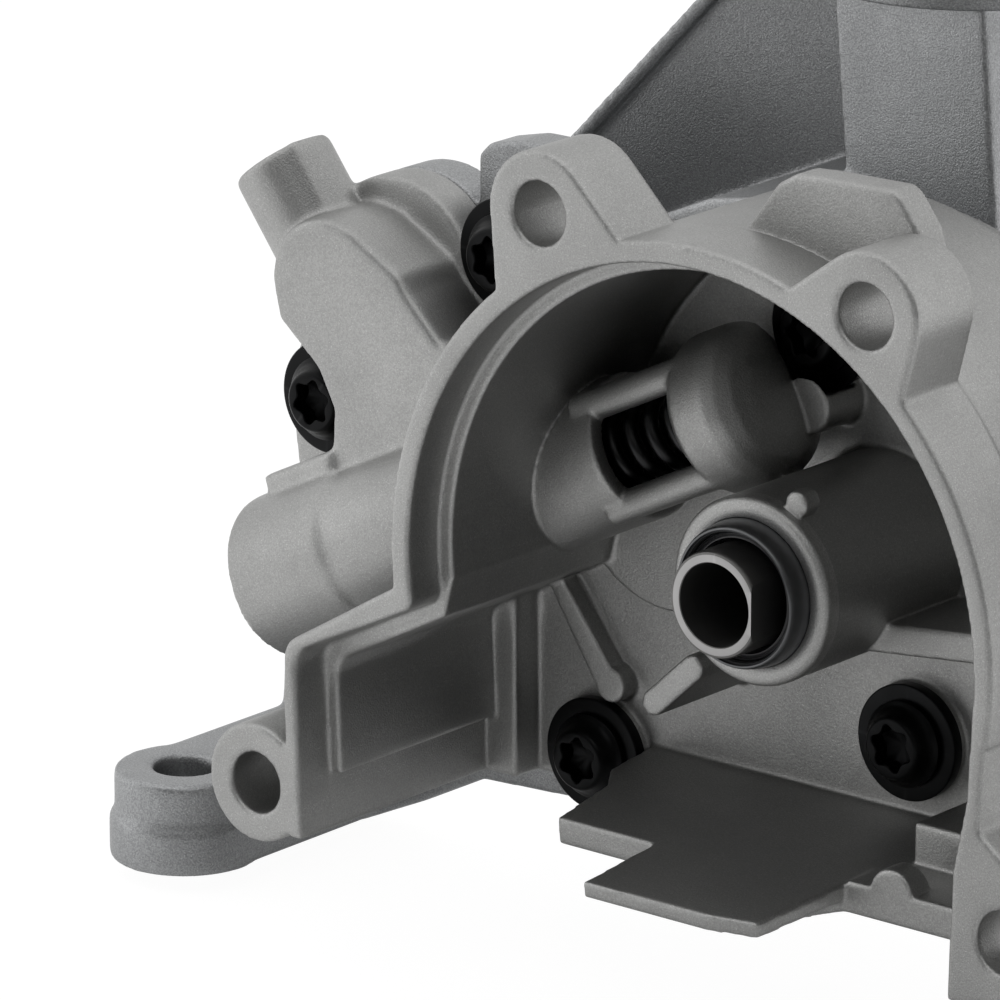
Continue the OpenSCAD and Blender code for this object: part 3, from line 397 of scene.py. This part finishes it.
FRONT_CAST = cast_material("Front casting", 0.44, (1.0, 1.0, 0.985), 3800.0, 0.08, 0.47, 0.3)
REAR_CAST = cast_material("Rear casting", 0.43, (0.985, 1.0, 1.015), 3600.0, 0.13, 0.44, 0.5)
BLACK_STEEL = steel_material("Black phosphated steel", 0.014, 0.35, 0.03, (1.0, 1.02, 1.05), 0.015)
SHAFT_STEEL = steel_material("Dark hardened steel", 0.15, 0.42, 0.4, (1.0, 0.99, 0.97), 0.012)
RING_STEEL = steel_material("Ground steel face", 0.42, 0.42, 0.5, (1.0, 0.99, 0.985), 0.012)
CASE_STEEL = steel_material("Blued seal case", 0.14, 0.4, 0.3, (0.98, 1.0, 1.03), 0.01)
GEAR_STEEL = steel_material("Ground gear steel", 0.36, 0.33, 0.6, (1.0, 1.0, 1.0), 0.012)
SPRING_STEEL = steel_material("Oiled spring steel", 0.03, 0.33, 0.15, (1.0, 1.0, 1.03), 0.01)
BRONZE = steel_material("Bearing bronze", 0.42, 0.36, 0.6, (1.0, 0.74, 0.42), 0.015)
RUBBER = rubber_material("Seal rubber", 0.018, 0.55)
LIP_RUBBER = rubber_material("Oiled lip rubber", 0.03, 0.3)


# Cast skins: the two housings with the soft edges of a casting

MOST_TRIANGLES = 195000
REMESH_DEPTH = 9
BORE_R, BORE_FROM, BORE_TO = 8.0, -82.0, 14.2
BORE_PLAY = 0.12
WEIGHT_LEVELS = 10


def apply_modifiers(obj):
    bpy.context.view_layer.update()
    seen = obj.evaluated_get(bpy.context.evaluated_depsgraph_get())
    mesh = bpy.data.meshes.new_from_object(seen)
    old = obj.data
    obj.modifiers.clear()
    obj.data = mesh
    bpy.data.meshes.remove(old)


def smooth(obj, rounds, group=""):
    """Eases the surface by rounds of smoothing, of all points or of a vertex group."""
    ease = obj.modifiers.new("Ease", "SMOOTH")
    ease.factor = 0.5
    ease.iterations = rounds
    ease.vertex_group = group
    apply_modifiers(obj)


def remesh(obj):
    """Gives the solid an even grid of small faces, which smoothing can work on."""
    grid = obj.modifiers.new("Remesh", "REMESH")
    grid.mode = "SHARP"
    grid.octree_depth = REMESH_DEPTH
    grid.scale = 0.95
    grid.use_remove_disconnected = False


def triangles(obj):
    return sum(len(p.vertices) - 2 for p in obj.data.polygons)


def points_of(obj):
    """The points of a mesh as an array, in millimetres."""
    points = np.empty(len(obj.data.vertices) * 3)
    obj.data.vertices.foreach_get("co", points)
    return points.reshape(-1, 3) / MM


def soften(obj, softness, rounds):
    """Eases a part of a casting further, where softness(x, y, z) in millimetres gives a weight over 0."""
    group = obj.vertex_groups.new(name="soft")
    weights = softness(*points_of(obj).T)
    for level in range(1, WEIGHT_LEVELS + 1):
        chosen = np.flatnonzero(np.ceil(weights * WEIGHT_LEVELS) == level)
        group.add(chosen.tolist(), level / WEIGHT_LEVELS, "REPLACE")
    smooth(obj, rounds, group.name)


def rise(value, start, length):
    """Weight that grows from 0 at the start to 1 after a length."""
    return np.clip((value - start) / length, 0.0, 1.0)


def from_valve(x, y, z):
    """Places along the valve's axis and distances from it."""
    past = np.stack([x, y, z], 1) - np.array(VALVE_AT)
    along = past @ np.array(VALVE_AXIS)
    return along, np.linalg.norm(past - np.outer(along, VALVE_AXIS), axis=1)


def port_side(x, y, z):
    """The side part with the port and the outer valve tube, up to the joint flange and outside the tube's bore."""
    off = from_valve(x, y, z)[1]
    return rise(-x, 57.0, 8.0) * rise(-y, -51.0, 3.0) * rise(z, -26.0, 4.0) * rise(off, 9.5, 1.5)


def lug_arm(x, y, z):
    """The lug at the lower left and the end of its arm."""
    return rise(-x, 80.0, 8.0) * rise(-z, 30.0, 6.0)


def ream_bore(obj):
    """Opens the eased bore of the valve again, so that the piston runs free in it."""
    points = points_of(obj)
    along, off = from_valve(*points.T)
    wall = (along > BORE_FROM) & (along < BORE_TO) & (off > BORE_R - 1.0) & (off < BORE_R + BORE_PLAY)
    middle = np.array(VALVE_AT) + np.outer(along, VALVE_AXIS)
    wider = middle + (points - middle) * ((BORE_R + BORE_PLAY) / np.maximum(off, 1.0))[:, None]
    points[wall] = wider[wall]
    obj.data.vertices.foreach_set("co", points.ravel() * MM)
    obj.data.update()


def cast_skin(node, name, material, rounds, softness, soft_rounds, fit=None):
    """A copy of a casting's solid, remeshed finely and eased so that every edge gets a cast radius."""
    mesh = nodes[node].data.copy()
    mesh.name = name
    obj = new_object(name, mesh)
    weld(mesh, turn_outwards=False)
    remesh(obj)
    smooth(obj, rounds)
    soften(obj, softness, soft_rounds)
    obj.data.shade_smooth()
    fine = obj.copy()
    fine.data = obj.data.copy()
    bpy.context.collection.objects.link(fine)
    thin = obj.modifiers.new("Thin", "DECIMATE")
    thin.ratio = min(1.0, MOST_TRIANGLES / triangles(obj))
    apply_modifiers(obj)
    if fit:
        fit(obj)
    obj.data.shade_smooth()
    # The thinned skin keeps the shading of the fine one
    shading = obj.modifiers.new("Shading", "DATA_TRANSFER")
    shading.object = fine
    shading.use_loop_data = True
    shading.data_types_loops = {"CUSTOM_NORMAL"}
    shading.loop_mapping = "POLYINTERP_NEAREST"
    apply_modifiers(obj)
    bpy.data.objects.remove(fine)
    dress(obj, material, "housing", node)
    print(name, "has", triangles(obj), "triangles")


cast_skin("front_housing", "front_casting", FRONT_CAST, 15, port_side, 40, ream_bore)
cast_skin("rear_housing", "rear_casting", REAR_CAST, 20, lug_arm, 20)


# Screws and washers

WASHER_R, WASHER_BORE_R, WASHER_T, WASHER_EDGE = 8.5, 4.3, 2.0, 0.28
LOBE_ANGLES = turns_of(144)
LOBE_INNER_R, LOBE_REACH = 2.62, 0.78
THREAD_PITCH, THREAD_CREST_R, THREAD_ROOT_R = 1.25, 4.0, 3.35
THREAD_TOP, THREAD_END = -9.0, -25.4
# Each screw is tightened to another angle, in degrees
FIRST_TURN, NEXT_TURN = 11, 17


def lobe_radius(angle):
    """Radius of the six-lobed recess at an angle."""
    wave = 0.5 + 0.5 * cos(6 * angle)
    return LOBE_INNER_R + LOBE_REACH * wave ** 1.35


def round_ring(r, z):
    return [(r * cos(a), r * sin(a), z) for a in LOBE_ANGLES]


def lobed_ring(z, share=1.0, grow=0.0):
    """A ring with the recess's outline, scaled by a share or grown by a distance."""
    radii = [lobe_radius(a) * share + grow for a in LOBE_ANGLES]
    return [(r * cos(a), r * sin(a), z) for r, a in zip(radii, LOBE_ANGLES)]


def skin_over(rings):
    """Points and faces over a row of rings, with a fan of faces over the first and the last."""
    count = len(LOBE_ANGLES)
    verts = [v for ring in rings for v in ring]
    faces = [face for i in range(len(rings) - 1) for face in band(i * count, (i + 1) * count, count)]
    for i, flip in ((0, True), (len(rings) - 1, False)):
        centre = len(verts)
        verts.append(tuple(np.mean(rings[i], axis=0)))
        for k in range(count):
            a, b = i * count + k, i * count + (k + 1) % count
            faces.append((b, a, centre) if flip else (a, b, centre))
    return verts, faces


def screw_rings():
    """Rings of a screw from the recess's floor over the head to the shank's tip; z is the height over the washer."""
    rings = [lobed_ring(0.62, share=0.35), lobed_ring(0.92, share=0.9)]
    rings += [lobed_ring(z, grow=g) for g, z in ((0.0, 1.0), (0.02, 2.0), (0.03, 3.2), (0.08, 3.42), (0.24, 3.56))]
    head = [(4.02, 3.6), (4.2, 3.55), (4.42, 3.4), (4.62, 3.1), (4.85, 2.6), (5.15, 1.9), (5.45, 1.42), (5.8, 1.12),
            (6.12, 0.96), (6.26, 0.84), (6.3, 0.6), (6.3, 0.12), (6.2, 0.0), (4.6, 0.0), (4.1, -0.3), (4.0, -0.8)]
    rings += [round_ring(r, z) for r, z in head]
    z = THREAD_TOP
    while z > THREAD_END:
        for share, r in ((0.0, THREAD_CREST_R), (0.12, THREAD_CREST_R), (0.5, THREAD_ROOT_R), (0.62, THREAD_ROOT_R)):
            rings.append(round_ring(r, z - share * THREAD_PITCH))
        z -= THREAD_PITCH
    return rings + [round_ring(3.2, -26.0), round_ring(2.9, -27.0)]


def add_fasteners():
    screw, screw_faces = skin_over(screw_rings())
    section = [(WASHER_BORE_R, 0), (WASHER_R, 0), (WASHER_R, WASHER_T), (WASHER_BORE_R, WASHER_T)]
    washer, washer_faces = lathe(rounded(section, WASHER_EDGE), turns_of(120))
    for i, (x, z) in enumerate(FACE_BOLTS, 1):
        seat = axis_frame((x, SEAT_Y, z), (0, -1, 0))
        top = axis_frame((x, SEAT_Y - WASHER_T, z), (0, -1, 0))
        top = top @ Matrix.Rotation(radians(FIRST_TURN + NEXT_TURN * i), 4, "Z")
        add_piece(f"screw_{i}_detailed", placed(top, screw), screw_faces, BLACK_STEEL, "housing",
                  f"housing_screw_{i}")
        add_piece(f"washer_{i}_detailed", placed(seat, washer), washer_faces, BLACK_STEEL, "housing",
                  f"screw_washer_{i}")


add_fasteners()


# Drive shaft with its flat, and the seal round it

SHAFT_R = 7.6
JOURNAL_R = 8.3
SHAFT_BORE = 5.9
SHAFT_FLAT = 6.45
STUB_LENGTH = 10.0
ALONG_SHAFT = axis_frame((0, 0, 0), (0, 1, 0))
RING_ANGLES = turns_of(160)


def add_shaft():
    """Hollow shaft whose stub has a flat on its right side and a bright ground end."""
    low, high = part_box("drive_shaft")
    y0, y1 = low.y / MM, high.y / MM
    step = y0 + STUB_LENGTH
    rows = [(SHAFT_BORE + 0.16, y0), (SHAFT_R - 0.5, y0), (SHAFT_R - 0.2, y0 + 0.1), (SHAFT_R - 0.04, y0 + 0.35)]
    rows += [(SHAFT_R, y0 + 0.6 + 0.3 * k) for k in range(30)]
    rows += [(SHAFT_R, step - 0.5), (SHAFT_R, step - 0.2), (JOURNAL_R - 0.1, step), (JOURNAL_R, step + 0.3),
             (JOURNAL_R, y1 - 0.5), (JOURNAL_R - 0.5, y1), (SHAFT_BORE, y1), (SHAFT_BORE, y0 + 0.3),
             (SHAFT_BORE + 0.04, y0 + 0.12)]
    # A point on either side of each corner of the flat keeps its edge straight
    corner = np.arccos(SHAFT_FLAT / SHAFT_R)
    verts, faces = lathe(rows, sorted(turns_of(192) + [corner, -corner % (2 * pi)]))
    side = ALONG_SHAFT.inverted().to_3x3() @ Vector((1, 0, 0))
    points = []
    for v in verts:
        along, r = Vector(v) @ side, (v[0] ** 2 + v[1] ** 2) ** 0.5
        over = max(0.0, along - SHAFT_FLAT)
        run_out = min(1.0, max(0.0, (step - 0.2 - v[2]) / 0.3))
        cut = over * run_out if r > SHAFT_BORE + 0.5 else 0.0
        points.append(tuple(ALONG_SHAFT @ (Vector(v) - side * cut)))
    shaft = add_piece("shaft_detailed", points, faces, SHAFT_STEEL, "drive", "drive_shaft", 28)
    shaft.data.materials.append(RING_STEEL)
    for face in shaft.data.polygons:
        if face.normal.y < -0.97 and face.center.y < (y0 + 0.05) * MM:
            face.material_index = 1


def add_ring(name, profile, material, sharp):
    """A turned ring round the shaft's axis that stays on the housing."""
    verts, faces = lathe(profile, RING_ANGLES)
    add_piece(name, placed(ALONG_SHAFT, verts), faces, material, "housing", sharp=sharp)


add_shaft()
# The seal's steel case, its dust lip, and the rounded mouth of the boss that they sit in
add_ring("seal_collar", [
    (10.52, 16.9), (10.52, 14.4), (10.4, 13.2), (10.15, 12.0), (9.98, 11.5), (9.84, 11.3), (9.7, 11.24), (9.56, 11.3),
    (9.5, 11.5), (9.42, 11.72), (9.3, 11.66), (9.2, 11.74), (9.14, 12.0), (9.1, 12.8), (9.1, 16.9),
], CASE_STEEL, 50)
add_ring("seal_dust_lip", [
    (9.1, 15.0), (9.1, 12.7), (8.98, 12.5), (8.82, 12.45), (8.7, 12.6), (8.62, 12.85), (8.5, 12.8), (8.36, 12.65),
    (8.2, 12.65), (8.1, 12.85), (8.04, 13.2), (7.86, 13.5), (7.72, 13.8), (7.8, 14.2), (8.2, 14.7),
], LIP_RUBBER, 50)
add_ring("boss_face_ring", [
    (10.58, 16.8), (10.58, 14.82), (10.66, 14.72), (12.1, 14.7), (12.55, 14.76), (12.92, 14.92), (13.2, 15.2),
    (13.37, 15.55), (13.44, 15.95), (13.45, 17.5), (12.8, 17.5),
], FRONT_CAST, 60)


# Relief spring

SPRING_TURNS = 14
SPRING_WIRE_R, SPRING_COIL_R = 1.1, 5.32
SPRING_FOOT, SPRING_LENGTH = -43.0, 57.4
STEPS_PER_TURN, WIRE_SIDES = 40, 14


def add_spring():
    """A wound spring with flat-cut ends."""
    steps = SPRING_TURNS * STEPS_PER_TURN
    verts, faces = [], []
    for i in range(steps + 1):
        a = 2 * pi * SPRING_TURNS * i / steps
        z = SPRING_WIRE_R + (SPRING_LENGTH - 2 * SPRING_WIRE_R) * i / steps
        outward = Vector((cos(a), sin(a), 0))
        for b in turns_of(WIRE_SIDES):
            rim = outward * (SPRING_COIL_R + SPRING_WIRE_R * cos(b)) + Vector((0, 0, z + SPRING_WIRE_R * sin(b)))
            verts.append(tuple(rim))
    for i in range(steps):
        faces += band(i * WIRE_SIDES, (i + 1) * WIRE_SIDES, WIRE_SIDES)
    faces.append(tuple(range(WIRE_SIDES)))
    faces.append(tuple(steps * WIRE_SIDES + k for k in range(WIRE_SIDES)))
    place = axis_frame(VALVE_AT + VALVE_AXIS * SPRING_FOOT, VALVE_AXIS)
    spring = add_piece("spring_detailed", placed(place, verts), faces, SPRING_STEEL, "housing",
                       "relief_spring")
    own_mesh(spring)


add_spring()


# The other nodes keep their solids and get their own finish

NODE_FINISH = {
    "drive_gear": GEAR_STEEL, "idler_gear": GEAR_STEEL, "idler_pin": GEAR_STEEL, "idler_bush": BRONZE,
    "front_shaft_bush": BRONZE, "rear_shaft_bush": BRONZE, "shaft_seal": RUBBER, "shaft_circlip": BLACK_STEEL,
    "relief_piston": SHAFT_STEEL, "relief_plug": GEAR_STEEL, "plug_o_ring": RUBBER, "plug_snap_ring": SPRING_STEEL,
    "sleeve_upper": GEAR_STEEL, "sleeve_lower": GEAR_STEEL,
}
for node, material in NODE_FINISH.items():
    nodes[node].data.materials.clear()
    nodes[node].data.materials.append(material)


# Camera: the place it was fitted to, with the pixel of a 1000-pixel picture that shows the part's origin

CAMERA_AZ, CAMERA_EL = radians(39.9), radians(16.65)
CAMERA_DISTANCE = 1060.0
FOCAL_PIXELS = 7840.0
PICTURE_PIXELS = 1000
ORIGIN_PIXEL = (681.4, 617.5)
SENSOR_WIDTH = 36.0


def add_camera():
    towards = Vector((sin(CAMERA_AZ) * cos(CAMERA_EL), -cos(CAMERA_AZ) * cos(CAMERA_EL), sin(CAMERA_EL)))
    right = Vector((cos(CAMERA_AZ), sin(CAMERA_AZ), 0))
    up = Vector((-sin(CAMERA_AZ) * sin(CAMERA_EL), cos(CAMERA_AZ) * sin(CAMERA_EL), cos(CAMERA_EL)))
    across = (ORIGIN_PIXEL[0] - PICTURE_PIXELS / 2) / FOCAL_PIXELS * CAMERA_DISTANCE
    above = -(ORIGIN_PIXEL[1] - PICTURE_PIXELS / 2) / FOCAL_PIXELS * CAMERA_DISTANCE
    where = (towards * CAMERA_DISTANCE - right * across - up * above) * MM
    data = bpy.data.cameras.new("camera")
    data.sensor_width = SENSOR_WIDTH
    data.lens = FOCAL_PIXELS / PICTURE_PIXELS * SENSOR_WIDTH
    data.clip_start, data.clip_end = 0.05, 20.0
    camera = new_object("camera", data)
    turn = Matrix((right, up, towards)).transposed().to_4x4()
    camera.matrix_world = Matrix.Translation(where) @ turn
    bpy.context.scene.camera = camera


# Studio: white walls, ceiling and floor that the metal mirrors, a dark zone round the camera, and one weak lamp

CAMERA_WAY = (0.66, -0.75, 0.0)
FRONT_LEFT_WAY = (-0.64, -0.77, 0.0)
FLOOR_HALF, FLOOR_DROP = 3.0, 0.0005
FLOOR_GLOW, FLOOR_GLOW_SHARE = 1.09, 0.88
DARK_ZONE = 0.02


def heading(tree, where):
    """How far a direction or a place lies towards the camera's side: 1 in front of it, -1 behind the pump."""
    level = vector_maths(tree, "MULTIPLY", where, (1.0, 1.0, 0.0))
    return vector_maths(tree, "DOT_PRODUCT", vector_maths(tree, "NORMALIZE", level), CAMERA_WAY)


def add_floor():
    """White floor with a faint shadow; metal mirrors it white in front at the left and away from the pump."""
    mat, tree, shader = bare_material("Studio floor", (0.8, 0.8, 0.8, 1.0), 0.0, 0.9)
    glow = tree.nodes.new("ShaderNodeEmission")
    glow.inputs["Strength"].default_value = FLOOR_GLOW
    where = object_place(tree)
    far = ramp(tree, vector_maths(tree, "LENGTH", where), 0.10, 0.24)
    near = ramp(tree, vector_maths(tree, "DOT_PRODUCT", where, FRONT_LEFT_WAY), 0.03, 0.12)
    aside = ramp(tree, heading(tree, where), 0.2, 0.7, 1.0, 0.0)
    path = tree.nodes.new("ShaderNodeLightPath").outputs
    mirrored = maths(tree, "MULTIPLY", maths(tree, "MAXIMUM", far, near), aside)
    mirrored = maths(tree, "MULTIPLY", path["Is Glossy Ray"], mirrored)
    shown = maths(tree, "MAXIMUM", path["Is Camera Ray"], mirrored)
    share = maths(tree, "MULTIPLY", shown, FLOOR_GLOW_SHARE)
    mix_shaders(tree, share, shader.outputs[0], glow.outputs[0], tree.nodes["Material Output"].inputs["Surface"])
    z = cad_box[0][2] - FLOOR_DROP
    corners = [(x * FLOOR_HALF, y * FLOOR_HALF, z) for x, y in ((-1, -1), (1, -1), (1, 1), (-1, 1))]
    mesh = bpy.data.meshes.new("floor")
    mesh.from_pydata(corners, [], [(0, 1, 2, 3)])
    mesh.materials.append(mat)
    new_object("floor", mesh)


def white_background(tree):
    node = tree.nodes.new("ShaderNodeBackground")
    node.inputs["Color"].default_value = (1.0, 1.0, 1.0, 1.0)
    return node


def set_world():
    """White walls and ceiling with a dark zone where the photographer stands; the camera itself sees white."""
    world = bpy.data.worlds.new("studio")
    world.use_nodes = True
    tree = world.node_tree
    way = tree.nodes.new("ShaderNodeTexCoord").outputs["Generated"]
    parts = tree.nodes.new("ShaderNodeSeparateXYZ")
    feed(tree, way, parts.inputs[0])
    towards = heading(tree, way)
    front = ramp(tree, towards, 0.15, 0.65, 1.0, DARK_ZONE)
    back = ramp(tree, towards, -0.9, -0.2, 0.8, 1.05)
    ceiling = ramp(tree, parts.outputs["Z"], 0.42, 0.75)
    around, seen = white_background(tree), white_background(tree)
    walls = maths(tree, "MULTIPLY", front, back)
    feed(tree, maths(tree, "MAXIMUM", walls, ceiling), around.inputs["Strength"])
    seen.inputs["Strength"].default_value = 1.0
    camera_ray = tree.nodes.new("ShaderNodeLightPath").outputs["Is Camera Ray"]
    mix_shaders(tree, camera_ray, around.outputs[0], seen.outputs[0], tree.nodes["World Output"].inputs["Surface"])
    bpy.context.scene.world = world


def add_lamp(name, where, aim, size, power):
    """A soft box of a size in metres, turned to a point."""
    data = bpy.data.lights.new(name, "AREA")
    data.shape = "RECTANGLE"
    data.size, data.size_y = size
    data.energy = power
    lamp = new_object(name, data)
    lamp.location = where
    lamp.rotation_euler = (Vector(aim) - Vector(where)).to_track_quat("-Z", "Y").to_euler()


add_camera()
add_floor()
set_world()
add_lamp("left_box", (-1.2, -0.75, 0.30), (-0.02, 0.02, 0.0), (0.8, 0.7), 0.6)

bpy.context.scene.view_settings.view_transform = "Standard"
